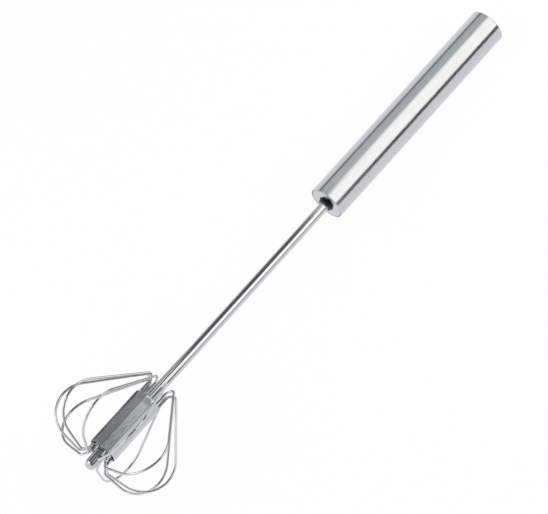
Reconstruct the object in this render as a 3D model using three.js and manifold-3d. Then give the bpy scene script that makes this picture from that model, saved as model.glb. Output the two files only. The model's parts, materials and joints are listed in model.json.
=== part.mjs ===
// Push-down whisk: ten round wires on a crimped hub, a straight shaft, and a tubular handle that
// slides down the shaft against a spring while a twisted strip turns the shaft and its wires.
// Millimetres, +Z up. The whisk lies on a surface, with its wires and the handle's far rim touching it.
import * as THREE from "three";
import { mergeVertices } from "three/addons/utils/BufferGeometryUtils.js";
import Module from "manifold-3d";

// ---- Driving dimensions -------------------------------------------------------------------------
const OVERALL_LENGTH = 300;
const ROUND_SEGMENTS = 36;
const ROUND_FIT = 0.1; // radial gap of one round piece inside another
const FACE_GAP = 0.3; // gap between faces that rest on each other

const HANDLE_LENGTH = 125;
const HANDLE_DIAMETER = 18.5;
const HANDLE_WALL = 0.6;
const HANDLE_EDGE_RADIUS = 0.4;

const CAP_THICKNESS = 1;
const CAP_SKIRT_WALL = 0.6;
const CAP_SKIRT_LENGTH = 2.7;
const CAP_EDGE_RADIUS = 0.3;

const BUSH_SPIGOT_DIAMETER = 8;
const BUSH_FLANGE_THICKNESS = 5;
const BUSH_RECESS = 0.3;
const BUSH_LIP_DIAMETER = 7;
const BUSH_LIP_LENGTH = 1.4; // below the handle's end face
const BUSH_SIDE_GAP = 0.9;

const SHAFT_DIAMETER = 5;
const SHAFT_WALL = 0.5;

const NOSE_LENGTH = 10.9; // from the nose tip to the sleeve
const NOSE_WALL = 0.3;

const SLEEVE_LENGTH = 32.6;
const SLEEVE_ACROSS_CORNERS = 14.6;
const SLEEVE_WALL = 0.4;
const SLEEVE_TURN = 7.5; // degrees that its flats are turned past the even wire places
const CORE_RECESS = 0.3;

const WIRE_DIAMETER = 1.2;
const WIRE_SIDES = 8;
const WIRE_TUCK = 12; // length of each wire end held in the sleeve
const WIRE_FIT = 0.1;
// How far each hand-bent wire stands off its even place around the hub, in degrees.
const WIRE_STRAY = [-6.5, -0.5, -1.5, 3.5, 2.5, -1.5, -4.5, 2.5, -2.5, 2.5];
const BALLOON_DIAMETER = 65.2; // over the wires
const BELLY_BEND_RADIUS = 15.1;
const BELLY_HEIGHT = 20.4;
const SMALL_BEND_RADIUS = 1.5;
const TOP_STUB = 7.7; // straight wire above the sleeve
const TOP_RISE = 2.8; // from the stub to the highest bend
const TOP_SPREAD = 2.5;
const BOTTOM_STUB = 3.7;
const BOTTOM_DROP = 3;
const BOTTOM_SPREAD = 2.8;
const BELLY_STEPS = 14;
const BEND_STEPS = 4;

const LEAD = 25; // travel of the shaft into the handle for one turn of the strip
const STRIP_WIDTH = 3.2;
const STRIP_THICKNESS = 0.9;
const STRIP_STEPS_PER_TURN = 30;
const STRIP_CLEARANCE = 0.25;
const STRIP_REACH = 6; // below the drive nut's slot at rest

const NUT_LENGTH = 12;
const NUT_SOCKET_DEPTH = 8;
const SLIDE_FIT = 0.3; // radial gap of the sliding pieces inside the handle

const WASHER_THICKNESS = 1;
const WASHER_BORE = 9;

const SPRING_WIRE = 1;
const SPRING_SIDE_GAP = 1.55; // between the wire and the handle's bore
const SPRING_TURNS = 15;
const SPRING_STEPS_PER_TURN = 12;
const SPRING_SIDES = 6;

const ANCHOR_LENGTH = 12;
const PIN_DIAMETER = 1.6;
const PIN_FIT = 0.15;
const PIN_INSET = 0.5; // pin end below the anchor's side

// ---- Derived heights along the whisk's axis, from the nose tip -----------------------------------
const handleRadius = HANDLE_DIAMETER / 2;
const handleBore = handleRadius - HANDLE_WALL;
const handleBottom = OVERALL_LENGTH - HANDLE_LENGTH;
const capRadius = handleBore - ROUND_FIT;
const shaftRadius = SHAFT_DIAMETER / 2;
const shaftBore = shaftRadius - SHAFT_WALL;
const shaftHole = shaftRadius + ROUND_FIT;
const slideRadius = handleBore - SLIDE_FIT;
const springReach = handleBore - SPRING_SIDE_GAP - SPRING_WIRE / 2; // to the middle of its wire

const flangeBottom = handleBottom + CAP_THICKNESS + FACE_GAP;
const flangeTop = flangeBottom + BUSH_FLANGE_THICKNESS;
const nutBottom = flangeTop + FACE_GAP;
const nutTop = nutBottom + NUT_LENGTH;
const slotBottom = nutBottom + NUT_SOCKET_DEPTH;
const shaftTop = slotBottom - FACE_GAP;
const washerBottom = nutTop + FACE_GAP;
const washerTop = washerBottom + WASHER_THICKNESS;
const anchorTop = OVERALL_LENGTH - CAP_SKIRT_LENGTH - FACE_GAP;
const anchorBottom = anchorTop - ANCHOR_LENGTH;
const pinHeight = (anchorTop + anchorBottom) / 2;
const stripTop = anchorTop - CAP_THICKNESS;
const stripBottom = slotBottom - STRIP_REACH;

const sleeveTop = NOSE_LENGTH + SLEEVE_LENGTH;
const sleeveCorner = SLEEVE_ACROSS_CORNERS / 2;
const wireCount = WIRE_STRAY.length;
const wireRadius = WIRE_DIAMETER / 2;
const cornerToFlat = Math.cos(Math.PI / wireCount);
const sleeveInnerFlat = sleeveCorner * cornerToFlat - SLEEVE_WALL;
const stubRadius = sleeveInnerFlat - WIRE_FIT - wireRadius;
const coreRadius = stubRadius - wireRadius - WIRE_FIT;
const coreBottom = NOSE_LENGTH + CORE_RECESS;
const noseRadius = shaftHole + NOSE_WALL;
const noseTop = coreBottom - FACE_GAP;
const shaftBottom = noseRadius + FACE_GAP;

// ---- Finishes ------------------------------------------------------------------------------------
const brushedSteel = new THREE.MeshStandardMaterial({ color: 0xc6c8cc, roughness: 0.28, metalness: 1 });
const brightWire = new THREE.MeshStandardMaterial({ color: 0xd0d1d4, roughness: 0.18, metalness: 1 });
const rolledSheet = new THREE.MeshStandardMaterial({ color: 0xb2b4b6, roughness: 0.38, metalness: 1 });
const springSteel = new THREE.MeshStandardMaterial({ color: 0x9a9ca0, roughness: 0.35, metalness: 1 });
const blackPlastic = new THREE.MeshStandardMaterial({ color: 0x17181a, roughness: 0.45, metalness: 0 });
const whiteNylon = new THREE.MeshStandardMaterial({ color: 0xe8e6df, roughness: 0.5, metalness: 0 });

// ---- Geometry helpers ----------------------------------------------------------------------------
// Turns a closed outline of [radius, height] pairs about the whisk's axis, which is local Y.
function turned(outline, segments = ROUND_SEGMENTS) {
  const points = outline.map(([radius, height]) => new THREE.Vector2(radius, height));
  return new THREE.LatheGeometry(points, segments);
}

function ring(inner, outer, bottom, top) {
  const outline = [[inner, bottom], [outer, bottom], [outer, top], [inner, top], [inner, bottom]];
  return turned(outline);
}

// Points of a round corner: a quarter circle about [radius, height] from one angle to another.
function corner(radius, height, size, fromDegrees, toDegrees, steps = 3) {
  return Array.from({ length: steps + 1 }, (_, i) => {
    const angle = THREE.MathUtils.degToRad(fromDegrees + ((toDegrees - fromDegrees) * i) / steps);
    return [radius + size * Math.cos(angle), height + size * Math.sin(angle)];
  });
}

const wasm = await Module();
wasm.setup();

function solidFrom(geometry) {
  const bare = geometry.clone();
  bare.deleteAttribute("normal");
  bare.deleteAttribute("uv");
  const merged = mergeVertices(bare, 1e-4);
  const vertProperties = new Float32Array(merged.attributes.position.array);
  const triVerts = new Uint32Array(merged.index.array);
  return new wasm.Manifold(new wasm.Mesh({ numProp: 3, vertProperties, triVerts }));
}

function cutAway(geometry, ...cutters) {
  const left = cutters.reduce((solid, cutter) => solid.subtract(solidFrom(cutter)), solidFrom(geometry));
  const mesh = left.getMesh();
  const result = new THREE.BufferGeometry();
  result.setAttribute("position", new THREE.BufferAttribute(mesh.vertProperties, 3));
  result.setIndex(new THREE.BufferAttribute(mesh.triVerts, 1));
  result.computeVertexNormals();
  return result;
}

// A path whose stations are given points, so a sweep has a section exactly at each of them.
class StationPath extends THREE.Curve {
  constructor(stations) {
    super();
    this.stations = stations;
  }
  getPoint(t, target = new THREE.Vector3()) {
    const place = t * (this.stations.length - 1);
    const index = Math.min(Math.floor(place), this.stations.length - 2);
    return target.lerpVectors(this.stations[index], this.stations[index + 1], place - index);
  }
  getPointAt(u, target) {
    return this.getPoint(u, target);
  }
  getTangentAt(u, target) {
    return this.getTangent(u, target);
  }
}

function sweptRound(stations, radius, sides) {
  const section = new THREE.Shape();
  for (let side = 0; side < sides; side++) {
    const angle = (2 * Math.PI * side) / sides;
    const place = [radius * Math.cos(angle), radius * Math.sin(angle)];
    if (side === 0) section.moveTo(...place);
    else section.lineTo(...place);
  }
  section.closePath();
  const path = new StationPath(stations);
  return new THREE.ExtrudeGeometry(section, { steps: stations.length - 1, extrudePath: path });
}

// A flat strip along the axis, turned by one full turn for each LEAD of height.
function twistedStrip(width, thickness, bottom, top) {
  const outline = new THREE.Shape();
  outline.moveTo(-width / 2, -thickness / 2);
  outline.lineTo(width / 2, -thickness / 2);
  outline.lineTo(width / 2, thickness / 2);
  outline.lineTo(-width / 2, thickness / 2);
  outline.closePath();
  const depth = top - bottom;
  const steps = Math.ceil((depth / LEAD) * STRIP_STEPS_PER_TURN);
  const strip = new THREE.ExtrudeGeometry(outline, { depth, steps, bevelEnabled: false });
  strip.rotateX(-Math.PI / 2);
  strip.translate(0, bottom, 0);
  const place = strip.attributes.position;
  const axis = new THREE.Vector3(0, 1, 0);
  const vertex = new THREE.Vector3();
  for (let i = 0; i < place.count; i++) {
    vertex.fromBufferAttribute(place, i);
    vertex.applyAxisAngle(axis, (2 * Math.PI * (vertex.y - pinHeight)) / LEAD);
    place.setXYZ(i, vertex.x, vertex.y, vertex.z);
  }
  return strip;
}

// ---- Handle --------------------------------------------------------------------------------------
function handleTube() {
  const edge = HANDLE_EDGE_RADIUS;
  const rim = handleRadius - edge;
  return turned([
    [handleBore, handleBottom],
    ...corner(rim, handleBottom + edge, edge, -90, 0),
    ...corner(rim, OVERALL_LENGTH - edge, edge, 0, 90),
    [handleBore, OVERALL_LENGTH],
    [handleBore, handleBottom],
  ]);
}

function endCap() {
  const inner = capRadius - CAP_SKIRT_WALL;
  const skirtBottom = OVERALL_LENGTH - CAP_SKIRT_LENGTH;
  const edge = CAP_EDGE_RADIUS;
  return turned([
    [0, OVERALL_LENGTH - CAP_THICKNESS],
    [inner, OVERALL_LENGTH - CAP_THICKNESS],
    [inner, skirtBottom],
    [capRadius, skirtBottom],
    ...corner(capRadius - edge, OVERALL_LENGTH - edge, edge, 0, 90),
    [0, OVERALL_LENGTH],
  ]);
}

function baseCap() {
  const inner = capRadius - CAP_SKIRT_WALL;
  const hole = BUSH_SPIGOT_DIAMETER / 2 + ROUND_FIT;
  const edge = CAP_EDGE_RADIUS;
  return turned([
    [hole, handleBottom],
    ...corner(capRadius - edge, handleBottom + edge, edge, -90, 0),
    [capRadius, handleBottom + CAP_SKIRT_LENGTH],
    [inner, handleBottom + CAP_SKIRT_LENGTH],
    [inner, handleBottom + CAP_THICKNESS],
    [hole, handleBottom + CAP_THICKNESS],
    [hole, handleBottom],
  ]);
}

function guideBush() {
  const spigot = BUSH_SPIGOT_DIAMETER / 2;
  const flange = handleBore - BUSH_SIDE_GAP;
  const lip = BUSH_LIP_DIAMETER / 2;
  const shoulder = handleBottom + BUSH_RECESS;
  const lipBottom = handleBottom - BUSH_LIP_LENGTH;
  return turned([
    [shaftHole, lipBottom],
    [lip, lipBottom],
    [lip, shoulder],
    [spigot, shoulder],
    [spigot, flangeBottom],
    [flange, flangeBottom],
    [flange, flangeTop],
    [shaftHole, flangeTop],
    [shaftHole, lipBottom],
  ]);
}

function crossHole(radius, height) {
  const hole = new THREE.CylinderGeometry(radius, radius, HANDLE_DIAMETER, ROUND_SEGMENTS / 2);
  return hole.rotateX(Math.PI / 2).translate(0, height, 0);
}

function slotCutter(bottom, top) {
  const width = STRIP_WIDTH + 2 * STRIP_CLEARANCE;
  const thickness = STRIP_THICKNESS + 2 * STRIP_CLEARANCE;
  return twistedStrip(width, thickness, bottom, top);
}

function rodAnchor() {
  const plug = turned([[0, anchorBottom], [capRadius, anchorBottom], [capRadius, anchorTop], [0, anchorTop]]);
  const slot = slotCutter(anchorBottom - 1, anchorTop + 1);
  return cutAway(plug, slot, crossHole(PIN_DIAMETER / 2 + PIN_FIT, pinHeight));
}

function anchorPin() {
  const radius = PIN_DIAMETER / 2;
  const length = 2 * (capRadius - PIN_INSET);
  const pin = new THREE.CylinderGeometry(radius, radius, length, ROUND_SEGMENTS / 2);
  return pin.rotateX(Math.PI / 2).translate(0, pinHeight, 0);
}

function spiralRod() {
  const strip = twistedStrip(STRIP_WIDTH, STRIP_THICKNESS, stripBottom, stripTop);
  return cutAway(strip, crossHole(PIN_DIAMETER / 2 + PIN_FIT, pinHeight));
}

function returnSpring() {
  const low = washerTop + FACE_GAP + SPRING_WIRE / 2;
  const high = anchorBottom - FACE_GAP - SPRING_WIRE / 2;
  const steps = SPRING_TURNS * SPRING_STEPS_PER_TURN;
  const stations = Array.from({ length: steps + 1 }, (_, i) => {
    const angle = (2 * Math.PI * i) / SPRING_STEPS_PER_TURN;
    const height = low + ((high - low) * i) / steps;
    return new THREE.Vector3(springReach * Math.cos(angle), height, springReach * Math.sin(angle));
  });
  return sweptRound(stations, SPRING_WIRE / 2, SPRING_SIDES);
}

// ---- Sliding and turning pieces ------------------------------------------------------------------
function driveNut() {
  const body = turned([
    [shaftHole, nutBottom],
    [slideRadius, nutBottom],
    [slideRadius, nutTop],
    [0, nutTop],
    [0, slotBottom],
    [shaftHole, slotBottom],
    [shaftHole, nutBottom],
  ]);
  return cutAway(body, slotCutter(slotBottom - 1, nutTop + 1));
}

function noseCap() {
  return turned([
    [0, 0],
    ...corner(0, noseRadius, noseRadius, -90, 0, 8).slice(1),
    [noseRadius, noseTop],
    [shaftHole, noseTop],
    [shaftHole, noseRadius],
    [0, noseRadius],
  ]);
}

// The sheet sleeve has one flat for each wire, so its outline is turned with that many segments.
function crimpSleeve() {
  const inner = sleeveInnerFlat / cornerToFlat;
  const sleeve = turned(
    [
      [inner, NOSE_LENGTH],
      [sleeveCorner, NOSE_LENGTH],
      [sleeveCorner, sleeveTop],
      [inner, sleeveTop],
      [inner, NOSE_LENGTH],
    ],
    wireCount,
  );
  return sleeve.rotateY(-THREE.MathUtils.degToRad(SLEEVE_TURN));
}

// ---- Wires ---------------------------------------------------------------------------------------
// Angle, seen from a circle's centre, at which the line from an outside point touches the circle.
function touchAngle(point, centre, radius, side) {
  const away = point.clone().sub(centre);
  return away.angle() + side * Math.acos(radius / away.length());
}

// Replaces a sharp corner by an arc that touches both of its legs.
function bend(before, at, after, radius) {
  const toBefore = before.clone().sub(at).normalize();
  const toAfter = after.clone().sub(at).normalize();
  const half = Math.acos(toBefore.dot(toAfter)) / 2;
  const middle = toBefore.clone().add(toAfter).normalize();
  const centre = at.clone().addScaledVector(middle, radius / Math.sin(half));
  const leg = radius / Math.tan(half);
  const start = at.clone().addScaledVector(toBefore, leg).sub(centre);
  const finish = at.clone().addScaledVector(toAfter, leg).sub(centre);
  const sweep = Math.atan2(start.cross(finish), start.dot(finish));
  return Array.from({ length: BEND_STEPS + 1 }, (_, i) =>
    start.clone().rotateAround(new THREE.Vector2(), (sweep * i) / BEND_STEPS).add(centre),
  );
}

const bellyCentre = new THREE.Vector2(BALLOON_DIAMETER / 2 - wireRadius - BELLY_BEND_RADIUS, BELLY_HEIGHT);

// One wire in its own plane, as radius and height: up from the sleeve, out over a tight bend, down a
// straight leg to the round belly, in along the bottom, and back up into the sleeve.
function wireOutline() {
  const lowBend = NOSE_LENGTH - BOTTOM_STUB;
  const highBend = sleeveTop + TOP_STUB;
  const lowEnd = new THREE.Vector2(stubRadius, NOSE_LENGTH + WIRE_TUCK);
  const lowKnee = new THREE.Vector2(stubRadius, lowBend);
  const lowToe = new THREE.Vector2(stubRadius + BOTTOM_SPREAD, lowBend - BOTTOM_DROP);
  const highToe = new THREE.Vector2(stubRadius + TOP_SPREAD, highBend + TOP_RISE);
  const highKnee = new THREE.Vector2(stubRadius, highBend);
  const highEnd = new THREE.Vector2(stubRadius, sleeveTop - WIRE_TUCK);
  const from = touchAngle(lowToe, bellyCentre, BELLY_BEND_RADIUS, 1) - 2 * Math.PI;
  const to = touchAngle(highToe, bellyCentre, BELLY_BEND_RADIUS, -1);
  const belly = Array.from({ length: BELLY_STEPS + 1 }, (_, i) => {
    const angle = from + ((to - from) * i) / BELLY_STEPS;
    const reach = new THREE.Vector2(BELLY_BEND_RADIUS, 0).rotateAround(new THREE.Vector2(), angle);
    return reach.add(bellyCentre);
  });
  return [
    lowEnd,
    ...bend(lowEnd, lowKnee, lowToe, SMALL_BEND_RADIUS),
    ...bend(lowKnee, lowToe, belly[0], SMALL_BEND_RADIUS),
    ...belly,
    ...bend(belly.at(-1), highToe, highKnee, SMALL_BEND_RADIUS),
    ...bend(highToe, highKnee, highEnd, SMALL_BEND_RADIUS),
    highEnd,
  ];
}

const wireStations = wireOutline().map((point) => new THREE.Vector3(point.x, point.y, 0));
const wireShape = sweptRound(wireStations, wireRadius, WIRE_SIDES);

// ---- Assembly ------------------------------------------------------------------------------------
function piece(name, geometry, material) {
  const mesh = new THREE.Mesh(geometry, material);
  mesh.name = name;
  return mesh;
}

const handle = new THREE.Group();
handle.add(
  piece("handle_tube", handleTube(), brushedSteel),
  piece("handle_end_cap", endCap(), brushedSteel),
  piece("handle_base_cap", baseCap(), brushedSteel),
  piece("guide_bush", guideBush(), blackPlastic),
  piece("rod_anchor", rodAnchor(), whiteNylon),
  piece("anchor_pin", anchorPin(), springSteel),
  piece("spiral_rod", spiralRod(), springSteel),
  piece("return_spring", returnSpring(), springSteel),
);

const carriage = new THREE.Group();
const washer = ring(WASHER_BORE / 2, slideRadius, washerBottom, washerTop);
carriage.add(piece("thrust_washer", washer, springSteel));

const whiskHead = new THREE.Group();
whiskHead.add(
  piece("drive_nut", driveNut(), whiteNylon),
  piece("shaft_tube", ring(shaftBore, shaftRadius, shaftBottom, shaftTop), brushedSteel),
  piece("nose_cap", noseCap(), brushedSteel),
  piece("hub_core", ring(shaftHole, coreRadius, coreBottom, sleeveTop - CORE_RECESS), springSteel),
  piece("crimp_sleeve", crimpSleeve(), rolledSheet),
);
WIRE_STRAY.forEach((stray, index) => {
  const wire = piece("wire_" + String(index + 1).padStart(2, "0"), wireShape, brightWire);
  const degrees = (360 * index) / wireCount + stray;
  wire.rotation.y = -THREE.MathUtils.degToRad(degrees);
  whiskHead.add(wire);
});

const whisk = new THREE.Group();
whisk.add(handle, carriage, whiskHead);

// The whisk lies on the two wires either side of its underside, at 270 degrees, and on the far rim.
const lowWires = WIRE_STRAY.map((stray, index) => Math.abs((360 * index) / wireCount + stray - 270));
const besideDown = THREE.MathUtils.degToRad(Math.min(...lowWires));
const bellyReach = bellyCentre.x + BELLY_BEND_RADIUS;
const bellyDrop = bellyReach * Math.cos(besideDown) + wireRadius;
const tilt = Math.atan2(bellyDrop - handleRadius, OVERALL_LENGTH - BELLY_HEIGHT);
const along = new THREE.Vector3(Math.cos(tilt), 0, -Math.sin(tilt));
const upright = new THREE.Vector3(Math.sin(tilt), 0, Math.cos(tilt));
const sideways = new THREE.Vector3().crossVectors(along, upright);
whisk.quaternion.setFromRotationMatrix(new THREE.Matrix4().makeBasis(sideways, along, upright));

// The origin is the middle of the underside of the whole whisk's box.
const box = new THREE.Box3().setFromObject(whisk, true);
whisk.position.set(-(box.min.x + box.max.x) / 2, -(box.min.y + box.max.y) / 2, -box.min.z);

const part = new THREE.Group();
part.add(whisk);
export default part;
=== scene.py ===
"""A push-down balloon whisk in stainless steel, lying on a pale table in soft studio light.

The handle slides along the shaft, and a twisted strip inside it turns the shaft and its ten wires.
Every surface is worked out in the whisk's own axes: heights in millimetres run along its axis from the
nose tip to the handle's end, and the two directions across it are side and up. Axes.place turns such
points into metres in the frame that all the pieces share.
"""

import json
import logging
import math
from dataclasses import dataclass, field
from enum import Enum
from typing import Any

import bpy
import numpy as np
from bpy.types import Material, Node, NodeSocket, NodeTree, Object
from mathutils import Matrix, Vector


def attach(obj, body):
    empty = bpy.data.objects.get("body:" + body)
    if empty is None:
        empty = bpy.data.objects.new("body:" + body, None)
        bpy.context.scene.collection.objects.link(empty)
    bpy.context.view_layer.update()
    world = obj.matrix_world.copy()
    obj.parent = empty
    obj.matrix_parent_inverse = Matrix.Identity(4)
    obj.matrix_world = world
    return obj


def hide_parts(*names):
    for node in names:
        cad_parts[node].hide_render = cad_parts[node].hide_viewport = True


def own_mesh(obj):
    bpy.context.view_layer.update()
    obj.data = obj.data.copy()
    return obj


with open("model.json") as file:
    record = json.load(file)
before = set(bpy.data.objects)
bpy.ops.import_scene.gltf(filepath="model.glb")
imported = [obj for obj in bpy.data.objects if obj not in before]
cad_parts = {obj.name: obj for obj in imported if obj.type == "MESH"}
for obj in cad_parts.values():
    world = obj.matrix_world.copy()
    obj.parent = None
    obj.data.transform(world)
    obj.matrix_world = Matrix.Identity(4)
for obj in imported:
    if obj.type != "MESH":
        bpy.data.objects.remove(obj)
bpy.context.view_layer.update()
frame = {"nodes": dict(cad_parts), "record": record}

MM = 0.001

# Easing radii of a cut edge that is only broken and of a bent sheet, and the distance from an eased
# edge to the next surface point, in millimetres.
BROKEN = 0.1
BENT = 0.3
EDGE_MARGIN = 0.15

# The part of its range that a noise mostly takes, and the part that darkens a line.
NOISE_RANGE = {"From Min": 0.3, "From Max": 0.7}
LINE_RANGE = {"From Min": 0.32, "From Max": 0.55}
# Clouds left by handling: their size in millimetres, and what they multiply the roughness by.
CLOUD_SIZE = 14
CLOUD_SHARE = {"To Min": 0.9, "To Max": 1.15}
WHITE = (1.0, 1.0, 1.0, 1.0)

log = logging.getLogger("whisk")


# ---- Axes and surfaces ----
@dataclass(frozen=True)
class Axes:
    """The whisk's own axes in the shared frame, in metres."""

    tip: np.ndarray
    along: np.ndarray
    side: np.ndarray
    up: np.ndarray

    @classmethod
    def from_record(cls, record: dict[str, Any], length: float) -> "Axes":
        """Finds the axes from the slide's direction and the face at the handle's end.

        Args:
            record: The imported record, which holds the joints and the mounts.
            length: Height of the handle's end face above the nose tip, in millimetres.

        Returns:
            The axes, with side level and up square to the other two.
        """
        slide = next(joint for joint in record["behaviour"]["joints"] if joint["type"] == "slide")
        face = next(mount for mount in record["mounts"] if mount["name"] == "handle_end_face")
        along = np.array(slide["axis"]) / np.linalg.norm(slide["axis"])
        side = np.array([0.0, -1.0, 0.0])
        tip = np.array(face["pos_m"]) - along * length * MM
        return cls(tip, along, side, np.cross(side, along))

    def place(self, points: np.ndarray) -> np.ndarray:
        """Moves points given as side, height, up in millimetres into the shared frame, in metres."""
        turn = np.stack([self.side, self.along, self.up])
        return self.tip + points @ turn * MM

    def around(self, degrees: float) -> np.ndarray:
        """Direction square to the axis at an angle that starts at side and turns towards up."""
        angle = math.radians(degrees)
        return self.side * math.cos(angle) + self.up * math.sin(angle)


def unit(vectors: np.ndarray) -> np.ndarray:
    """Vectors scaled to length one along their last direction."""
    return vectors / np.linalg.norm(vectors, axis=-1, keepdims=True)


def fillet(before: np.ndarray, at: np.ndarray, after: np.ndarray, radius: float, steps: int) -> np.ndarray:
    """Points of the arc that rounds a corner and touches both of its legs.

    The arc's centre lies on the line that halves the corner, at radius over the sine of half the
    angle between the legs, and the arc runs between the feet of that centre on the two legs.

    Args:
        before, at, after: The corner and its neighbours.
        radius: Radius of the arc.
        steps: Number of steps along the arc.

    Returns:
        The arc's points, steps + 1 of them.
    """
    back, ahead = unit(before - at), unit(after - at)
    half = math.acos(float(np.clip(back @ ahead, -1, 1))) / 2
    centre = at + unit(back + ahead) * radius / math.sin(half)
    first = at + back * radius / math.tan(half) - centre
    last = at + ahead * radius / math.tan(half) - centre
    sweep = math.atan2(first[0] * last[1] - first[1] * last[0], float(first @ last))
    angle = np.linspace(0, sweep, steps + 1)[:, None]
    across = np.array([-first[1], first[0]])
    return centre + np.cos(angle) * first + np.sin(angle) * across


def outline(corners: list[tuple[float, float, float]], closed: bool = True, steps: int = 6) -> np.ndarray:
    """Outline with each corner eased by its own radius.

    Next to each arc it has one more point on each straight leg, so that a smooth surface bends only at
    its edges and stays true between them.

    Args:
        corners: Radius, height and easing radius of each corner, in millimetres.
        closed: Whether the last corner joins the first. An open outline keeps its two ends sharp.
        steps: Number of steps along each arc.

    Returns:
        The outline's points as radius and height.
    """
    points = np.array([corner[:2] for corner in corners])
    parts = []
    for index, (_, _, ease) in enumerate(corners):
        at = points[index]
        if not closed and index in (0, len(corners) - 1):
            parts.append(at[None])
            continue
        before, after = points[index - 1], points[(index + 1) % len(corners)]
        arc = fillet(before, at, after, ease, steps)
        for end, foot in ((before, arc[0]), (after, arc[-1])):
            reach = min(EDGE_MARGIN, np.linalg.norm(end - foot) / 4)
            parts.append(foot[None] + unit(end - at) * reach)
        parts.insert(-1, arc)
    return np.concatenate(parts)


def ring(inner: float, outer: float, low: float, high: float, bore: float, rim: float) -> list[tuple]:
    """Corners of a plain turned ring, for an outline.

    Args:
        inner, outer: Its two radii.
        low, high: Heights of its two faces.
        bore, rim: Easing radii of the inner and of the outer edges.

    Returns:
        The four corners, from the lower inner one outwards and up.
    """
    return [(inner, low, bore), (outer, low, rim), (outer, high, rim), (inner, high, bore)]


def turned(radius: Any, height: Any, angle: np.ndarray) -> np.ndarray:
    """Points at radius times the cosine and sine of the angle, as side, height, up."""
    parts = (radius * np.cos(angle), height, radius * np.sin(angle))
    return np.stack(np.broadcast_arrays(*parts), axis=-1)


def lathe(profile: np.ndarray, segments: int) -> np.ndarray:
    """Grid of a profile turned about the axis, with one row for each profile point.

    Args:
        profile: Radius and height of each row.
        segments: Number of columns round the axis.

    Returns:
        Grid of rows by columns by side, height, up.
    """
    angle = np.linspace(0, 2 * math.pi, segments, endpoint=False)
    return turned(profile[:, :1], profile[:, 1:], angle)


def sweep(path: np.ndarray, radius: float, reference: np.ndarray, sides: int) -> np.ndarray:
    """Grid of a round wire carried along a path.

    Each row is a circle square to the path. Its first direction is the reference made square to the
    path, and its second is square to both.

    Args:
        path: Points of the wire's centre line.
        radius: Radius of the wire.
        reference: A direction, or one for each point, which the circle's first direction follows.
        sides: Number of columns round the wire.

    Returns:
        Grid of path points by sides by side, height, up.
    """
    tangent = unit(np.gradient(path, axis=0))
    first = reference - tangent * (reference * tangent).sum(-1, keepdims=True)
    first = unit(np.broadcast_to(first, path.shape))
    second = np.cross(tangent, first)
    angle = np.linspace(0, 2 * math.pi, sides, endpoint=False)[None, :, None]
    return path[:, None] + radius * (np.cos(angle) * first[:, None] + np.sin(angle) * second[:, None])


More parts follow.
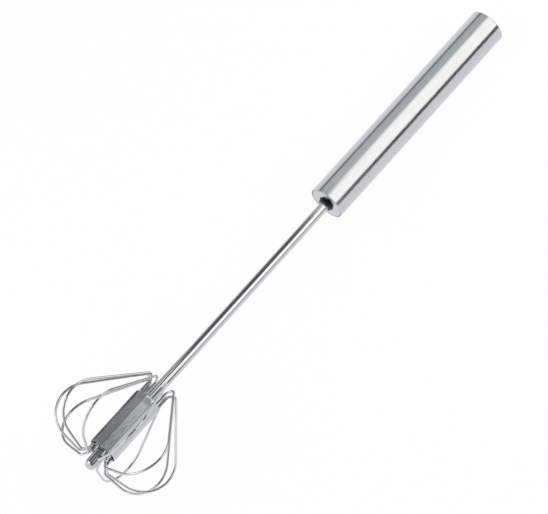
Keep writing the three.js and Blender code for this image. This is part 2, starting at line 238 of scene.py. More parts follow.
def skin(name: str, grid: np.ndarray, wrap: tuple[bool, bool], solid: bool = True) -> Object:
    """Makes an object from a grid of points in metres.

    Neighbouring rows and columns are joined by quads. Where the rows don't wrap on a solid piece, each
    end closes on one pole in the middle of its row. A solid that would be inside out, which its signed
    volume tells, has its faces turned round. The UV map holds the length along the rows and across the
    columns in millimetres, measured on the grid itself.

    Args:
        name: The object's name.
        grid: Points as rows by columns by three.
        wrap: Whether the rows and the columns close on themselves.
        solid: Whether the grid is the skin of a closed piece.

    Returns:
        The new object, at the origin.
    """
    rows, columns = grid.shape[:2]
    index = np.arange(rows * columns).reshape(rows, columns)
    last_row, last_column = rows - (not wrap[0]), columns - (not wrap[1])
    row, column = np.meshgrid(np.arange(last_row), np.arange(last_column), indexing="ij")
    row, column = row.ravel(), column.ravel()
    steps = [(0, 0), (0, 1), (1, 1), (1, 0)]
    quads = np.stack([index[(row + i) % rows, (column + j) % columns] for i, j in steps], axis=1)
    length = np.linalg.norm(np.diff(np.concatenate([grid, grid[:1]]), axis=0), axis=-1).mean(1) / MM
    width = np.linalg.norm(np.diff(np.concatenate([grid, grid[:, :1]], axis=1), axis=1), axis=-1).mean(0) / MM
    along, across = np.append(0, length.cumsum()), np.append(0, width.cumsum())
    quad_uv = np.stack([np.stack([along[row + i], across[column + j]], axis=1) for i, j in steps], axis=1)
    points = grid.reshape(-1, 3)
    corners, uv, sizes = [quads.ravel()], [quad_uv.reshape(-1, 2)], [np.full(len(quads), 4)]
    if solid and not wrap[0]:
        ring = np.arange(columns)
        after = (ring + 1) % columns
        poles = np.stack([grid[0].mean(0), grid[-1].mean(0)])
        first = np.stack([index[0][after], index[0], np.full(columns, len(points))], axis=1)
        last = np.stack([index[-1], index[-1][after], np.full(columns, len(points) + 1)], axis=1)
        points = np.concatenate([points, poles])
        for triangles, place in ((first, along[0]), (last, along[rows - 1])):
            corners.append(triangles.ravel())
            uv.append(np.stack([np.full(3 * columns, place), np.repeat(across[:-1], 3)], axis=1))
            sizes.append(np.full(columns, 3))
    loops, loop_uv, counts = np.concatenate(corners), np.concatenate(uv), np.concatenate(sizes)
    if solid:
        a, b, c, d = (points[quads[:, k]] for k in range(4))
        volume = (a * (np.cross(b, c) + np.cross(c, d))).sum()
        if len(sizes) > 1:
            fans = np.concatenate(corners[1:]).reshape(-1, 3)
            volume += (points[fans[:, 0]] * np.cross(points[fans[:, 1]], points[fans[:, 2]])).sum()
        if volume < 0:
            ends = counts.cumsum()
            owner = np.repeat(np.arange(len(counts)), counts)
            flipped = (ends - counts)[owner] + ends[owner] - 1 - np.arange(len(loops))
            loops, loop_uv = loops[flipped], loop_uv[flipped]
    mesh = bpy.data.meshes.new(name)
    mesh.vertices.add(len(points))
    mesh.vertices.foreach_set("co", points.astype(np.float32).ravel())
    mesh.loops.add(len(loops))
    mesh.loops.foreach_set("vertex_index", loops.astype(np.int32))
    mesh.polygons.add(len(counts))
    mesh.polygons.foreach_set("loop_start", (counts.cumsum() - counts).astype(np.int32))
    mesh.polygons.foreach_set("use_smooth", np.ones(len(counts), dtype=bool))
    mesh.uv_layers.new(name="surface").uv.foreach_set("vector", loop_uv.astype(np.float32).ravel())
    mesh.update(calc_edges=True)
    mesh.validate()
    piece = bpy.data.objects.new(name, mesh)
    bpy.context.scene.collection.objects.link(piece)
    return piece


# ---- Finishes ----
def linear(hex_colour: str) -> tuple[float, float, float, float]:
    """Turns an sRGB hex colour into linear red, green, blue and an alpha of one."""
    channels = [int(hex_colour[start : start + 2], 16) / 255 for start in (1, 3, 5)]
    red, green, blue = (c / 12.92 if c <= 0.04045 else ((c + 0.055) / 1.055) ** 2.4 for c in channels)
    return red, green, blue, 1.0


def add_node(tree: NodeTree, kind: str, inputs: dict[Any, Any] | None = None, **settings: Any) -> Node:
    """Adds a node with its settings, and sets or links its inputs.

    Args:
        tree: The tree that gets the node.
        kind: The node's type, without the prefix that all of them share.
        inputs: Socket name or number to a value, or to the output socket that it is linked from.
        settings: The node's own properties.

    Returns:
        The new node.
    """
    node = tree.nodes.new("ShaderNode" + kind)
    for name, value in settings.items():
        setattr(node, name, value)
    for key, value in (inputs or {}).items():
        if isinstance(value, NodeSocket):
            tree.links.new(value, node.inputs[key])
        else:
            node.inputs[key].default_value = value
    return node


def new_material(name: str) -> tuple[Material, NodeTree, Node]:
    """An empty node material with its output: the material, its tree and the output node."""
    material = bpy.data.materials.new(name)
    material.use_nodes = True
    material.node_tree.nodes.clear()
    output = add_node(material.node_tree, "OutputMaterial")
    return material, material.node_tree, output


class Lay(Enum):
    """Which way the fine lines of a worked metal surface run."""

    LENGTHWISE = "along the whisk's axis"
    ROUND = "in rings about the whisk's axis"
    DRAWN = "along the wire itself"


@dataclass(frozen=True)
class Steel:
    """A stainless steel surface, named for the way it was made.

    Attributes:
        name: The material's name.
        colour: Reflection at normal incidence, as sRGB hex.
        roughness: Mean roughness.
        spread: How far the lines move the roughness up and down.
        lay: Direction of the lines.
        spacing: Distance between the lines, in millimetres.
        run: Length of a line, in millimetres.
        depth: Height of the lines, in millimetres.
        darkening: Share of the reflection that the deepest lines lose.
    """

    name: str
    colour: str
    roughness: float
    spread: float
    lay: Lay
    spacing: float
    run: float
    depth: float
    darkening: float

    def coordinates(self, tree: NodeTree, axes: Axes) -> NodeSocket:
        """Coordinates in which one unit is one line's spacing across and one run along.

        Args:
            tree: The material's tree.
            axes: The whisk's own axes, which the object coordinates are turned to.

        Returns:
            The socket that carries the coordinates.
        """
        source = add_node(tree, "TexCoord").outputs
        if self.lay is Lay.DRAWN:
            drawn = {"Vector": source["UV"], "Scale": (1 / self.run, 1 / self.spacing, 1)}
            return add_node(tree, "Mapping", drawn).outputs[0]
        across, along = 1 / (self.spacing * MM), 1 / (self.run * MM)
        turn = Matrix([axes.side, axes.along, axes.up])
        shift = {"Location": -(turn @ Vector(axes.tip)), "Rotation": turn.to_euler()}
        own = add_node(tree, "Mapping", {"Vector": source["Object"], **shift}).outputs[0]
        scale = (across, along, across)
        if self.lay is Lay.ROUND:
            flat = {0: own, 1: (1, 0, 1)}
            flat = add_node(tree, "VectorMath", flat, operation="MULTIPLY").outputs[0]
            radius = add_node(tree, "VectorMath", {0: flat}, operation="LENGTH").outputs["Value"]
            ways = add_node(tree, "SeparateXYZ", {0: flat}).outputs
            polar = {"X": radius, "Y": ways["X"], "Z": ways["Z"]}
            own = add_node(tree, "CombineXYZ", polar).outputs[0]
            scale = (across, along, along)
        return add_node(tree, "Mapping", {"Vector": own, "Scale": scale}).outputs[0]

    def material(self, axes: Axes) -> Material:
        """The steel as a node material: fine lines in height, roughness and brightness.

        Args:
            axes: The whisk's own axes.

        Returns:
            The material.
        """
        material, tree, output = new_material(self.name)
        coordinates = self.coordinates(tree, axes)
        fine = {"Vector": coordinates, "Scale": 1.0, "Detail": 5.0, "Roughness": 0.6}
        lines = add_node(tree, "TexNoise", fine).outputs["Fac"]
        source = add_node(tree, "TexCoord")
        broad = {"Vector": source.outputs["Object"], "Scale": 1 / (CLOUD_SIZE * MM), "Detail": 2.0}
        clouds = add_node(tree, "TexNoise", broad).outputs["Fac"]
        limits = {"To Min": self.roughness - self.spread, "To Max": self.roughness + self.spread}
        lined = add_node(tree, "MapRange", {"Value": lines, **NOISE_RANGE, **limits})
        handled = add_node(tree, "MapRange", {"Value": clouds, **NOISE_RANGE, **CLOUD_SHARE})
        factors = {0: lined.outputs[0], 1: handled.outputs[0]}
        rough = add_node(tree, "Math", factors, operation="MULTIPLY")
        full = linear(self.colour)
        dim = tuple(channel * (1 - self.darkening) for channel in full[:3]) + (1.0,)
        depth = add_node(tree, "MapRange", {"Value": lines, **LINE_RANGE})
        colours = {"Factor": depth.outputs[0], 6: dim, 7: full}
        shade = add_node(tree, "Mix", colours, data_type="RGBA")
        bump = add_node(tree, "Bump", {"Height": lines, "Distance": self.depth * MM})
        look = {"Base Color": shade.outputs[2], "Metallic": 1.0, "Roughness": rough.outputs[0]}
        shader = add_node(tree, "BsdfPrincipled", {**look, "Normal": bump.outputs[0]})
        tree.links.new(shader.outputs[0], output.inputs["Surface"])
        return material


@dataclass(frozen=True)
class MouldedPlastic:
    """A moulded engineering plastic with the faint orange-peel skin of its tool.

    Attributes:
        name: The material's name.
        colour: Body colour, as sRGB hex.
        roughness: Mean roughness.
        grain: Size of the skin's waves, in millimetres.
        translucence: Share of light that scatters inside.
        spread: How far the waves move the roughness up and down.
        darkening: Share of the colour that the waves' troughs lose.
        depth: Height of the waves, in millimetres.
        scatter: How far light travels inside, in millimetres.
        bending: Index of refraction.
    """

    name: str
    colour: str
    roughness: float
    grain: float
    translucence: float
    spread: float = 0.06
    darkening: float = 0.12
    depth: float = 0.01
    scatter: float = 0.5
    bending: float = 1.5

    def material(self, axes: Axes) -> Material:
        """The plastic as a node material, whose skin has no direction and so doesn't use the axes."""
        material, tree, output = new_material(self.name)
        source = add_node(tree, "TexCoord")
        peel = {"Vector": source.outputs["Object"], "Scale": 1 / (self.grain * MM), "Detail": 3.0}
        waves = add_node(tree, "TexNoise", peel).outputs["Fac"]
        limits = {"To Min": self.roughness - self.spread, "To Max": self.roughness + self.spread}
        rough = add_node(tree, "MapRange", {"Value": waves, **NOISE_RANGE, **limits})
        full = linear(self.colour)
        dim = tuple(channel * (1 - self.darkening) for channel in full[:3]) + (1.0,)
        shade = add_node(tree, "Mix", {"Factor": waves, 6: dim, 7: full}, data_type="RGBA")
        bump = add_node(tree, "Bump", {"Height": waves, "Distance": self.depth * MM})
        look = {"Base Color": shade.outputs[2], "Roughness": rough.outputs[0], "IOR": self.bending}
        milk = {"Subsurface Weight": self.translucence, "Subsurface Scale": self.scatter * MM}
        shader = add_node(tree, "BsdfPrincipled", {**look, **milk, "Normal": bump.outputs[0]})
        tree.links.new(shader.outputs[0], output.inputs["Surface"])
        return material


class Slot(Enum):
    """The record's material slots, each with its finish."""

    # Drawn tube, belt-brushed lengthwise: clear bands of light, drawn out by fine straight lines.
    BRUSHED_TUBE = Steel("brushed_tube", "#CCCBD2", 0.17, 0.04, Lay.LENGTHWISE, 0.4, 14, 0.0012, 0.13)
    # Disc stamped from smooth sheet: an even pale face with hardly seen rings.
    PRESSED_CAP = Steel("pressed_cap", "#C7C9D3", 0.15, 0.03, Lay.ROUND, 0.3, 6, 0.0003, 0.06)
    # Ground and polished shaft: sharp streaks of light, faint lines along it.
    POLISHED_SHAFT = Steel("polished_shaft", "#CBCBCF", 0.09, 0.03, Lay.LENGTHWISE, 0.3, 18, 0.0012, 0.08)
    # Bright wire drawn through a die: mirror-like, with fine scores along the wire.
    BRIGHT_WIRE = Steel("bright_wire", "#CDCDD1", 0.1, 0.03, Lay.DRAWN, 0.2, 9, 0.0012, 0.10)
    # Cold-rolled sheet with a satin skin: softer and greyer than the tube.
    ROLLED_SHEET = Steel("rolled_sheet", "#C4C5CB", 0.2, 0.05, Lay.LENGTHWISE, 0.7, 4, 0.0018, 0.14)
    # Hard-drawn steel left as it came off the coiler: dull, with die lines along the wire.
    SPRING_STEEL = Steel("spring_steel", "#B9BFC6", 0.42, 0.06, Lay.DRAWN, 0.25, 8, 0.003, 0.18)
    # Acetal moulded in black: a low, waxy shine.
    BLACK_BUSH = MouldedPlastic("black_bush", "#101013", 0.3, 0.6, 0.0)
    # Natural nylon: milky white with a soft skin.
    NYLON = MouldedPlastic("nylon", "#E7E6DE", 0.45, 0.8, 0.1)


class Body(Enum):
    """The bodies that move against each other."""

    HANDLE = "handle"
    CARRIAGE = "carriage"
    WHISK = "whisk"


@dataclass
class Workshop:
    """Turns grids into finished pieces and keeps one material for each slot."""

    axes: Axes
    materials: dict[Slot, Material] = field(default_factory=dict)

    def material(self, slot: Slot) -> Material:
        """The slot's material, made when it is first asked for."""
        if slot not in self.materials:
            self.materials[slot] = slot.value.material(self.axes)
        return self.materials[slot]

    def finish(self, node: str, grid: np.ndarray, closed: bool, slot: Slot, body: Body) -> Object:
        """Makes a piece from a grid, dresses it and puts it in its CAD node's place.

        Args:
            node: The CAD node that the piece stands for.
            grid: Points as side, height, up in millimetres.
            closed: Whether the rows close on themselves, or end on a pole.
            slot: The piece's material slot.
            body: The body that the piece rides on.

        Returns:
            The finished piece.
        """
        piece = skin(f"{node}_fine", self.axes.place(grid), (closed, True))
        piece.data.materials.append(self.material(slot))
        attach(piece, body.value)
        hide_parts(node)
        faces = len(piece.data.polygons)
        log.info("%s: %d faces, %s, on %s", piece.name, faces, slot.name.lower(), body.value)
        return piece

    def dress(self, node: str, slot: Slot) -> None:
        """Gives a CAD node that keeps its shape the slot's material."""
        for material_slot in frame["nodes"][node].material_slots:
            material_slot.material = self.material(slot)
        log.info("%s: kept, %s", node, slot.name.lower())


# ---- Handle ----
@dataclass
class Handle:
    """The tubular handle with its two caps and the guide bush. Sizes in millimetres."""

    top: float = 300.0
    length: float = 125.0
    radius: float = 9.25
    wall: float = 0.6
    edge: float = 0.4
    cap_fit: float = 0.1
    cap_thickness: float = 1.0
    cap_skirt_wall: float = 0.6
    cap_skirt: float = 2.7
    cap_edge: float = 0.3
    bush_spigot: float = 4.0
    bush_flange: float = 5.0
    bush_recess: float = 0.3
    bush_lip: float = 3.5
    bush_lip_length: float = 1.4
    bush_side_gap: float = 0.9
    face_gap: float = 0.3
    shaft_hole: float = 2.6
    pole: float = 0.05
    segments: int = 256

    @property
    def bottom(self) -> float:
        """Height of the handle's lower end."""
        return self.top - self.length

    @property
    def bore(self) -> float:
        """Inner radius of the tube."""
        return self.radius - self.wall

    @property
    def cap_radius(self) -> float:
        """Radius of the caps, which fit inside the tube."""
        return self.bore - self.cap_fit

    def tube(self) -> np.ndarray:
        """Turned ring whose outer edges are rolled round and whose bore edges are only broken."""
        corners = ring(self.bore, self.radius, self.bottom, self.top, 0.08, self.edge)
        return lathe(outline(corners, steps=8), self.segments)

    def end_cap(self) -> np.ndarray:
        """Turned cup, closed at the top, with its skirt pointing into the tube."""
        inner = self.cap_radius - self.cap_skirt_wall
        corners = [
            (self.pole, self.top - self.cap_thickness, 0),
            (inner, self.top - self.cap_thickness, BENT),
            (inner, self.top - self.cap_skirt, BROKEN),
            (self.cap_radius, self.top - self.cap_skirt, BROKEN),
            (self.cap_radius, self.top, self.cap_edge),
            (self.pole, self.top, 0),
        ]
        return lathe(outline(corners, closed=False), self.segments)

    def base_cap(self) -> np.ndarray:
        """Turned cup with a hole for the bush, whose rim is eased by the press."""
        inner = self.cap_radius - self.cap_skirt_wall
        hole = self.bush_spigot + self.cap_fit
        corners = [
            (hole, self.bottom, 0.18),
            (self.cap_radius, self.bottom, self.cap_edge),
            (self.cap_radius, self.bottom + self.cap_skirt, BROKEN),
            (inner, self.bottom + self.cap_skirt, BROKEN),
            (inner, self.bottom + self.cap_thickness, BENT),
            (hole, self.bottom + self.cap_thickness, BROKEN),
        ]
        return lathe(outline(corners), self.segments)

    def bush(self) -> np.ndarray:
        """Turned bush: a lip round the shaft, a spigot through the cap and a flange behind it."""
        flange = self.bore - self.bush_side_gap
        low = self.bottom + self.cap_thickness + self.face_gap
        shoulder = self.bottom + self.bush_recess
        corners = [
            (self.shaft_hole, self.bottom - self.bush_lip_length, 0.15),
            (self.bush_lip, self.bottom - self.bush_lip_length, 0.25),
            (self.bush_lip, shoulder, BROKEN),
            (self.bush_spigot, shoulder, BROKEN),
            (self.bush_spigot, low, BROKEN),
            (flange, low, 0.2),
            (flange, low + self.bush_flange, 0.2),
            (self.shaft_hole, low + self.bush_flange, 0.35),
        ]
        return lathe(outline(corners), self.segments)

    def build(self, workshop: Workshop) -> None:
        """Makes the four pieces that ride on the handle."""
        workshop.finish("handle_tube", self.tube(), True, Slot.BRUSHED_TUBE, Body.HANDLE)
        workshop.finish("handle_end_cap", self.end_cap(), False, Slot.BRUSHED_TUBE, Body.HANDLE)
        workshop.finish("handle_base_cap", self.base_cap(), True, Slot.PRESSED_CAP, Body.HANDLE)
        workshop.finish("guide_bush", self.bush(), True, Slot.BLACK_BUSH, Body.HANDLE)


# ---- Drive inside the handle ----
@dataclass
class SpiralDrive:
    """The twisted strip, its anchor and pin, and the nut that it turns. Sizes in millimetres."""

    handle: Handle
    anchor_length: float = 12.0
    pin_radius: float = 0.8
    pin_inset: float = 0.5
    pin_ease: float = 0.15
    pole: float = 0.02
    segments: int = 48

    @property
    def pin_height(self) -> float:
        """Height of the pin, in the middle of the anchor."""
        anchor_top = self.handle.top - self.handle.cap_skirt - self.handle.face_gap
        return anchor_top - self.anchor_length / 2

    def pin(self) -> np.ndarray:
        """Turned pin with eased ends, whose own axis is then laid from height to up."""
        half = self.handle.cap_radius - self.pin_inset
        corners = [
            (self.pole, -half, 0),
            (self.pin_radius, -half, self.pin_ease),
            (self.pin_radius, half, self.pin_ease),
            (self.pole, half, 0),
        ]
        upright = lathe(outline(corners, closed=False), self.segments)
        return np.stack([upright[..., 0], self.pin_height - upright[..., 2], upright[..., 1]], axis=-1)

    def build(self, workshop: Workshop) -> None:
        """Makes the pin, and dresses the three CAD pieces whose slots are cut to the strip's twist."""
        workshop.finish("anchor_pin", self.pin(), False, Slot.SPRING_STEEL, Body.HANDLE)
        workshop.dress("rod_anchor", Slot.NYLON)
        workshop.dress("drive_nut", Slot.NYLON)
        workshop.dress("spiral_rod", Slot.SPRING_STEEL)


@dataclass
class Return:
    """The thrust washer and the spring that pushes it out again. Sizes in millimetres."""

    handle: Handle
    drive: SpiralDrive
    nut_length: float = 12.0
    slide_fit: float = 0.3
    washer_thickness: float = 1.0
    washer_bore: float = 4.5
    washer_ease: float = 0.12
    wire: float = 1.0
    mean_radius: float = 6.6
    turns: int = 15
    stroke: float = 50.0
    steps_per_turn: int = 48
    sides: int = 14

    @property
    def washer_bottom(self) -> float:
        """Height of the washer's lower face at rest."""
        handle = self.handle
        flange_top = handle.bottom + handle.cap_thickness + handle.face_gap + handle.bush_flange
        return flange_top + handle.face_gap + self.nut_length + handle.face_gap

    @property
    def spring_ends(self) -> tuple[float, float]:
        """Heights of the spring's wire at its lower and upper end, at rest."""
        gap = self.handle.face_gap + self.wire / 2
        low = self.washer_bottom + self.washer_thickness + gap
        return low, self.drive.pin_height - self.drive.anchor_length / 2 - gap

    def washer(self) -> np.ndarray:
        """Turned flat ring with eased edges."""
        outer = self.handle.bore - self.slide_fit
        low, high = self.washer_bottom, self.washer_bottom + self.washer_thickness
        corners = ring(self.washer_bore, outer, low, high, self.washer_ease, self.washer_ease)
        return lathe(outline(corners), self.handle.segments // 2)

    def spring(self) -> np.ndarray:
        """Round wire carried along a helix of even pitch, which turns from side towards up as it climbs."""
        low, high = self.spring_ends
        share = np.linspace(0, 1, self.turns * self.steps_per_turn + 1)
        angle = 2 * math.pi * self.turns * share
        outward = turned(1.0, 0.0, angle)
        path = outward * self.mean_radius
        path[:, 1] = low + (high - low) * share
        return sweep(path, self.wire / 2, outward, self.sides)

    def build(self, workshop: Workshop) -> None:
        """Makes the washer and the spring."""
        workshop.finish("thrust_washer", self.washer(), True, Slot.SPRING_STEEL, Body.CARRIAGE)
        spring = workshop.finish("return_spring", self.spring(), False, Slot.SPRING_STEEL, Body.HANDLE)
        low, high = self.spring_ends
        anchor = workshop.axes.place(np.array([0, high + self.wire / 2, 0]))
        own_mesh(spring)


# ---- Shaft and hub ----
@dataclass
class Shaft:
    """The polished shaft and the domed cap at its nose. Sizes in millimetres."""

    radius: float = 2.5
    wall: float = 0.5
    fit: float = 0.1
    top: float = 189.3
    nose_radius: float = 2.9
    nose_top: float = 10.9
    face_gap: float = 0.3
    pole: float = 0.02
    dome_steps: int = 32
    segments: int = 128

    def tube(self) -> np.ndarray:
        """Turned ring along the whole shaft."""
        bore, bottom = self.radius - self.wall, self.nose_radius + self.face_gap
        return lathe(outline(ring(bore, self.radius, bottom, self.top, 0.08, BROKEN)), self.segments)

    def nose(self) -> np.ndarray:
        """Turned cap: a half sphere outside, and a flat-bottomed bore that the shaft stands in."""
        inner = self.radius + self.fit
        dome = self.nose_radius
        angle = np.linspace(-math.pi / 2, 0, self.dome_steps + 1)[1:]
        outside = np.stack([dome * np.cos(angle), dome + dome * np.sin(angle)], axis=1)
        corners = [
            (dome, dome + 0.1, 0),
            (dome, self.nose_top, 0.12),
            (inner, self.nose_top, 0.05),
            (inner, dome, 0.05),
            (self.pole, dome, 0),
        ]
        profile = np.concatenate([outside, outline(corners, closed=False)])
        return lathe(profile, self.segments)

    def build(self, workshop: Workshop) -> None:
        """Makes the two pieces that turn with the head."""
        workshop.finish("shaft_tube", self.tube(), True, Slot.POLISHED_SHAFT, Body.WHISK)
        workshop.finish("nose_cap", self.nose(), False, Slot.POLISHED_SHAFT, Body.WHISK)


@dataclass
class Hub:
    """The ring on the shaft and the ten-sided sleeve crimped round the wires.

    Sizes are in millimetres and the sleeve's turn is in degrees. Crispness is the power that shapes the
    sleeve's corners, and each wave of its lower rim has a height, a count and a starting angle.
    """

    shaft: Shaft
    bottom: float = 10.9
    length: float = 32.6
    corner_radius: float = 7.3
    wall: float = 0.4
    flats: int = 10
    turn: float = 7.5
    core_recess: float = 0.3
    core_radius: float = 5.143
    crispness: float = 90.0
    faded_crispness: float = 16.0
    fade_length: float = 4.5
    fade_curve: float = 1.5
    fade_swell: float = 0.012
    waves: tuple[tuple[float, int, float], ...] = ((0.12, 3, 0.6), (0.07, 7, 2.1))
    wave_reach: float = 1.5
    rim_ease: float = 0.15
    wall_rows: int = 58
    segments: int = 360

    @property
    def top(self) -> float:
        """Height of the sleeve's upper end."""
        return self.bottom + self.length

    def core(self) -> np.ndarray:
        """Turned ring with chamfered edges, a little inside the sleeve at both ends."""
        inner = self.shaft.radius + self.shaft.fit
        low, high = self.bottom + self.core_recess, self.top - self.core_recess
        corners = ring(inner, self.core_radius, low, high, BROKEN, BENT)
        return lathe(outline(corners), self.segments // 3)

    def sleeve(self) -> np.ndarray:
        """Sheet wrapped round a ten-sided form.

        The wall is a thin upright strip with round rims, at a radius that changes round the axis. Ten
        flats give ten cosines over the flats' distance, and the radius is the sum of their powers,
        brought back by the root: a high power gives crisp corners, and a lower one near the upper rim
        lets the flats fade into a rounder section. The lower rim waves by a tenth or two of a
        millimetre, as a crimped edge does.
        """
        half = self.wall / 2
        corners = ring(-half, half, self.bottom, self.top, self.rim_ease, self.rim_ease)
        section = outline(corners[1:] + corners[:1])
        upper = np.flatnonzero(section[:, 1] > self.bottom + self.length / 2)
        turn, back = upper[0], upper[-1] + 1
        rows = np.linspace(section[turn - 1, 1], section[turn, 1], self.wall_rows + 2)[1:-1]
        rise = np.stack([np.full(self.wall_rows, half), rows], axis=1)
        fall = rise[::-1] * (-1, 1)
        section = np.concatenate([section[:turn], rise, section[turn:back], fall, section[back:]])
        offset, height = section[:, :1], section[:, 1:]
        angle = np.linspace(0, 2 * math.pi, self.segments, endpoint=False)
        flat = self.corner_radius * math.cos(math.pi / self.flats) - half
        fade = np.clip((height - (self.top - self.fade_length)) / self.fade_length, 0, 1) ** self.fade_curve
        power = self.crispness * (1 - fade) + self.faded_crispness * fade
        middle = 2 * math.pi * np.arange(self.flats)[:, None, None] / self.flats + math.radians(self.turn)
        facing = np.clip(np.cos(angle[None, None, :] - middle), 0, None)
        swell = 1 + self.fade_swell * fade
        radius = swell * flat * (facing ** power[None]).sum(0) ** (-1 / power) + offset
        wave = sum(size * np.sin(count * angle + start) for size, count, start in self.waves)
        height = height + wave * np.exp(-(height - self.bottom) / self.wave_reach)
        return turned(radius, height, angle)

    def build(self, workshop: Workshop) -> None:
        """Makes the hub's two pieces."""
        workshop.finish("hub_core", self.core(), True, Slot.SPRING_STEEL, Body.WHISK)
        workshop.finish("crimp_sleeve", self.sleeve(), True, Slot.ROLLED_SHEET, Body.WHISK)


# ---- Wires ----
@dataclass
class WireCage:
    """The ten bent wires. Sizes in millimetres, and strays in degrees from an even spacing."""

    hub: Hub
    strays: tuple[float, ...] = (-6.5, -0.5, -1.5, 3.5, 2.5, -1.5, -4.5, 2.5, -2.5, 2.5)
    radius: float = 0.6
    stub_radius: float = 5.843
    tuck: float = 12.0
    balloon_radius: float = 32.6
    belly_radius: float = 15.1
    belly_height: float = 20.4
    bend_radius: float = 1.5
    top_stub: float = 7.7
    top_rise: float = 2.8
    top_spread: float = 2.5
    bottom_stub: float = 3.7
    bottom_drop: float = 3.0
    bottom_spread: float = 2.8
    belly_steps: int = 72
    bend_steps: int = 10
    sides: int = 18

    def centre_line(self) -> np.ndarray:
        """One wire in its own plane, as radius and height.

        Straight stubs leave the sleeve, bend out by two tight arcs each, and run on the straight lines
        that touch the round belly. A touching point lies at the angle to the outside point, turned by
        the arc cosine of the belly's radius over the distance.
        """
        low_bend, high_bend = self.hub.bottom - self.bottom_stub, self.hub.top + self.top_stub
        low_end = np.array([self.stub_radius, self.hub.bottom + self.tuck])
        low_knee = np.array([self.stub_radius, low_bend])
        low_toe = low_knee + (self.bottom_spread, -self.bottom_drop)
        high_knee = np.array([self.stub_radius, high_bend])
        high_toe = high_knee + (self.top_spread, self.top_rise)
        high_end = np.array([self.stub_radius, self.hub.top - self.tuck])
        centre = np.array([self.balloon_radius - self.radius - self.belly_radius, self.belly_height])
        angles = []
        for toe, side in ((low_toe, 1), (high_toe, -1)):
            away = toe - centre
            opening = math.acos(self.belly_radius / np.linalg.norm(away))
            angles.append(math.atan2(away[1], away[0]) + side * opening)
        start, end = angles[0] % (2 * math.pi) - 2 * math.pi, angles[1] % (2 * math.pi)
        angle = np.linspace(start, end, self.belly_steps + 1)
        belly = centre + self.belly_radius * np.stack([np.cos(angle), np.sin(angle)], axis=1)
        bends = (
            (low_end, low_knee, low_toe),
            (low_knee, low_toe, belly[0]),
            (belly[-1], high_toe, high_knee),
            (high_toe, high_knee, high_end),
        )
        arcs = [fillet(*legs, self.bend_radius, self.bend_steps) for legs in bends]
        return np.concatenate([low_end[None], arcs[0], arcs[1], belly, arcs[2], arcs[3], high_end[None]])

    def wire(self, number: int) -> np.ndarray:
        """The centre line turned to one wire's angle, with a round section carried along it."""
        line = self.centre_line()
        angle = math.radians(360 / len(self.strays) * number + self.strays[number])
        outward = np.array([math.cos(angle), 0, math.sin(angle)])
        square = np.array([-math.sin(angle), 0, math.cos(angle)])
        path = line[:, :1] * outward + line[:, 1:] * np.array([0, 1, 0])
        return sweep(path, self.radius, square, self.sides)

    def build(self, workshop: Workshop) -> None:
        """Makes the wires in their order round the hub."""
        for number in range(len(self.strays)):
            node = f"wire_{number + 1:02d}"
            workshop.finish(node, self.wire(number), False, Slot.BRIGHT_WIRE, Body.WHISK)


# ---- Studio ----
@dataclass(frozen=True)
class Card:
    """Part of an arch about the whisk's axis that shows in its metal, and gives light if it glows.

    Attributes:
        name: The card's name.
        start, end: Its edges in degrees, from the camera's side of the whisk.
        low, high: Its ends as heights along the whisk's axis, in millimetres.
        colour: Colour of its glow, as sRGB hex.
        strength: Strength of its glow, where 1 is white.
        reach: Its distance from the axis, in millimetres.
    """

    name: str
    start: float
    end: float
    low: float
    high: float
    colour: str
    strength: float
    reach: float = 550.0


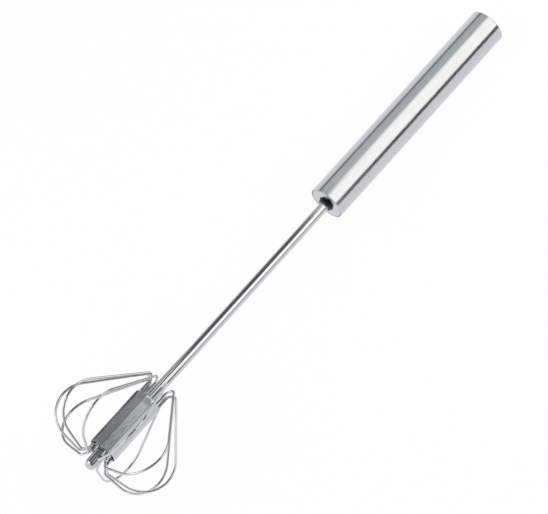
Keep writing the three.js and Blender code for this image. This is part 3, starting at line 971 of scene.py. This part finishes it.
@dataclass
class Studio:
    """The white table and surround, the soft light above and the cards that shape the reflections.

    The heights where the cards end, the flags and the dip are in millimetres. The floor and the lamp are
    in metres, and the lamp's power is in watts. Facing is the camera's side of the whisk, in degrees.
    """

    axes: Axes
    facing: float
    card_points: int = 25
    flag_half: float = 560.0
    table_flag_heights: tuple[float, float] = (8.0, 80.0)
    table_flag_sides: tuple[float, float] = (12.0, 90.0)
    table_flag_lift: float = 0.4
    table_glow: float = 0.95
    fill_light: float = 0.8
    floor_half: float = 6.0
    dip: float = 4.3
    nose_end: float = -260.0
    hub_start: float = 192.0
    shaft_start: float = 226.0
    handle_start: float = 360.0
    handle_near: float = 402.0
    handle_end: float = 900.0
    lamp_size: float = 1.6
    lamp_height: float = 0.5
    lamp_power: float = 5.0

    def cards(self) -> list[Card]:
        """The cards that the nose, hub, shaft and handle see, in a stretch along the axis for each."""
        handle = (self.handle_start, self.handle_end)
        shaft = (self.shaft_start, self.handle_start)
        hub = (self.hub_start, self.shaft_start)
        nose = (self.nose_end, self.hub_start)
        return [
            Card("soft_light", -41, 28, *handle, "#FFFFF6", 1.56),
            Card("half_light", 28, 35, *handle, "#FAFFFC", 1.05),
            Card("near_grey_card", 35, 80, self.handle_start, self.handle_near, "#F6FFFB", 0.88),
            Card("grey_card", 35, 80, self.handle_near, self.handle_end, "#F4FFF9", 0.66),
            Card("edge_card", 80, 97, *handle, "#F6F8FF", 0.3),
            Card("black_card", -62, -41, *handle, "#FFFFFF", 0.1),
            Card("strip_light", -36, 16, *shaft, "#FFFFFF", 1.65),
            Card("shaft_dark_card", 16, 101, *shaft, "#FFFCFF", 0.15),
            Card("shaft_grey_card", -64, -36, *shaft, "#FFFFFF", 0.56),
            Card("hub_grey_card", -34, 24, *hub, "#FBFFF2", 1.5),
            Card("hub_line_card", 24, 46, *hub, "#FAFCFF", 0.05),
            Card("hub_dark_card", 46, 78, *hub, "#FAFDFF", 0.95),
            Card("hub_edge_card", 78, 101, *hub, "#FAFCFF", 0.3),
            Card("hub_black_card", -64, -34, *hub, "#FFFFFF", 0.06),
            Card("nose_card", -52, 40, *nose, "#FAFCFF", 0.24),
            Card("nose_black_card", 40, 70, *nose, "#FAFCFF", 0.12),
            Card("nose_side_card", 70, 101, *nose, "#FAFCFF", 0.32),
            Card("nose_tip_card", -38, 4, -470, self.nose_end, "#FAFCFF", 0.1),
            Card("sparkle_light", 42, 74, -330, -50, "#FFFFFF", 2.6, 500.0),
        ]

    def emitter(self, name: str, colour: str, strength: float) -> Material:
        """A surface that glows evenly in one colour."""
        material, tree, output = new_material(name)
        glow = add_node(tree, "Emission", {"Color": linear(colour), "Strength": strength})
        tree.links.new(glow.outputs[0], output.inputs["Surface"])
        return material

    def sheet(self, name: str, grid: np.ndarray, colour: str, strength: float) -> Object:
        """Makes a glowing sheet from a grid in metres, which shows in the metal but not to the camera."""
        piece = skin(name, grid, (False, False), solid=False)
        piece.data.materials.append(self.emitter(name, colour, strength))
        piece.visible_camera = False
        return piece

    def hang(self, card: Card) -> None:
        """Makes one card: the reach times the cosine and sine of the angle, between two heights."""
        angle = np.radians(np.linspace(card.start, card.end, self.card_points) + self.facing)[None, :]
        height = np.array([[card.low], [card.high]])
        arch = self.axes.place(turned(card.reach, height, angle))
        self.sheet(card.name, arch, card.colour, card.strength)

    def flags(self) -> None:
        """Two dark sheets: one past the handle's end, which lines its rim, and one flat beside the hub."""
        ends = (-self.flag_half, self.flag_half)
        grid = np.array([[[side, self.handle_end, up] for side in ends] for up in ends])
        self.sheet("end_flag", self.axes.place(grid), "#FFFFFF", 0.1)
        lengthwise = [self.axes.place(np.array([0, height, 0]))[0] for height in self.table_flag_heights]
        sideways = [side * MM for side in self.table_flag_sides]
        grid = np.array([[[x, y, self.table_flag_lift * MM] for x in lengthwise] for y in sideways])
        flag = self.sheet("table_flag", grid, "#FFFFFF", 0.12)
        flag.visible_shadow = False
        flag.visible_diffuse = False

    def seen(self, tree: NodeTree) -> NodeSocket:
        """One for what is seen directly, mirrored or through a clear thing, and nought for other light."""
        rays = add_node(tree, "LightPath").outputs
        factors = {0: rays["Is Camera Ray"], 1: rays["Is Glossy Ray"]}
        direct = add_node(tree, "Math", factors, operation="MAXIMUM")
        factors = {0: direct.outputs[0], 1: rays["Is Transmission Ray"]}
        return add_node(tree, "Math", factors, operation="MAXIMUM").outputs[0]

    def floor(self) -> None:
        """A white table that shows as the white surround does, and still takes the whisk's shadow.

        It lies lower than the whisk by as much as the head dips when it slides up to the handle.
        """
        ends = (-self.floor_half, self.floor_half)
        grid = np.array([[[x, y, -self.dip * MM] for y in ends] for x in ends])
        floor = skin("table", grid, (False, False), solid=False)
        material, tree, output = new_material("matt_white_table")
        matt = add_node(tree, "BsdfDiffuse", {"Color": linear("#EFEFF0")})
        glow = add_node(tree, "Emission", {"Color": WHITE, "Strength": 1.0})
        share = add_node(tree, "Math", {0: self.seen(tree), 1: self.table_glow}, operation="MULTIPLY")
        shaders = {0: share.outputs[0], 1: matt.outputs[0], 2: glow.outputs[0]}
        mixed = add_node(tree, "MixShader", shaders)
        tree.links.new(mixed.outputs[0], output.inputs["Surface"])
        floor.data.materials.append(material)

    def surround(self) -> None:
        """A white surround for what the camera and the metal see, and a dim even light for the rest."""
        world = bpy.data.worlds.new("white_surround")
        world.use_nodes = True
        tree = world.node_tree
        tree.nodes.clear()
        white = add_node(tree, "Background", {"Color": WHITE, "Strength": 1.0})
        fill = add_node(tree, "Background", {"Color": WHITE, "Strength": self.fill_light})
        shaders = {0: self.seen(tree), 1: fill.outputs[0], 2: white.outputs[0]}
        mixed = add_node(tree, "MixShader", shaders)
        output = add_node(tree, "OutputWorld")
        tree.links.new(mixed.outputs[0], output.inputs["Surface"])
        bpy.context.scene.world = world

    def lamp(self) -> None:
        """A wide plain lamp straight above the whisk, which lights what is matt and shows in no metal."""
        data = bpy.data.lights.new("overhead_lamp", "AREA")
        data.size = self.lamp_size
        data.energy = self.lamp_power
        lamp = bpy.data.objects.new("overhead_lamp", data)
        lamp.location = (0, 0, self.lamp_height)
        lamp.visible_camera = False
        lamp.visible_glossy = False
        bpy.context.scene.collection.objects.link(lamp)

    def build(self) -> None:
        """Makes the table, the surround, the lamp, the flags and the cards."""
        self.floor()
        self.surround()
        self.lamp()
        self.flags()
        for card in self.cards():
            self.hang(card)


@dataclass
class ProductCamera:
    """The camera, set by where it stands about the whisk's axis.

    Angles are in degrees. The distance and the clip end are in metres, and the lens, the sensor and the
    two look sizes are in millimetres.
    """

    axes: Axes
    facing: float = 78.5
    swing: float = 18.6
    roll: float = 47.87
    distance: float = 1.66
    lens: float = 229.9
    look_height: float = 137.4
    look_aside: float = -1.43
    sensor: float = 36.0
    clip_end: float = 50.0

    def build(self) -> None:
        """Stands the camera on the facing side of the axis, swung towards the nose, and rolls it."""
        swing, roll = math.radians(self.swing), math.radians(self.roll)
        out = self.axes.around(self.facing)
        aside = self.axes.around(self.facing - 90)
        back = out * math.cos(swing) - self.axes.along * math.sin(swing)
        lengthwise = self.axes.along * math.cos(swing) + out * math.sin(swing)
        right = lengthwise * math.cos(roll) + aside * math.sin(roll)
        up = lengthwise * math.sin(roll) - aside * math.cos(roll)
        target = self.axes.place(np.array([0, self.look_height, 0])) + aside * self.look_aside * MM
        data = bpy.data.cameras.new("product_camera")
        data.lens = self.lens
        data.sensor_width = self.sensor
        data.clip_end = self.clip_end
        camera = bpy.data.objects.new("product_camera", data)
        turn = Matrix(np.stack([right, up, back], axis=1).tolist()).to_4x4()
        camera.matrix_world = Matrix.Translation(Vector(target + back * self.distance)) @ turn
        bpy.context.scene.collection.objects.link(camera)
        bpy.context.scene.camera = camera


def main() -> None:
    """Builds the whisk, the studio and the camera."""
    logging.basicConfig(level=logging.INFO, format="%(name)s: %(message)s")
    handle = Handle()
    axes = Axes.from_record(frame["record"], handle.top)
    workshop = Workshop(axes)
    camera = ProductCamera(axes)
    camera.build()
    handle.build(workshop)
    drive = SpiralDrive(handle)
    drive.build(workshop)
    Return(handle, drive).build(workshop)
    shaft = Shaft()
    shaft.build(workshop)
    hub = Hub(shaft)
    hub.build(workshop)
    WireCage(hub).build(workshop)
    Studio(axes, camera.facing).build()
    bpy.context.scene.view_settings.view_transform = "Standard"


if __name__ == "__main__":
    main()
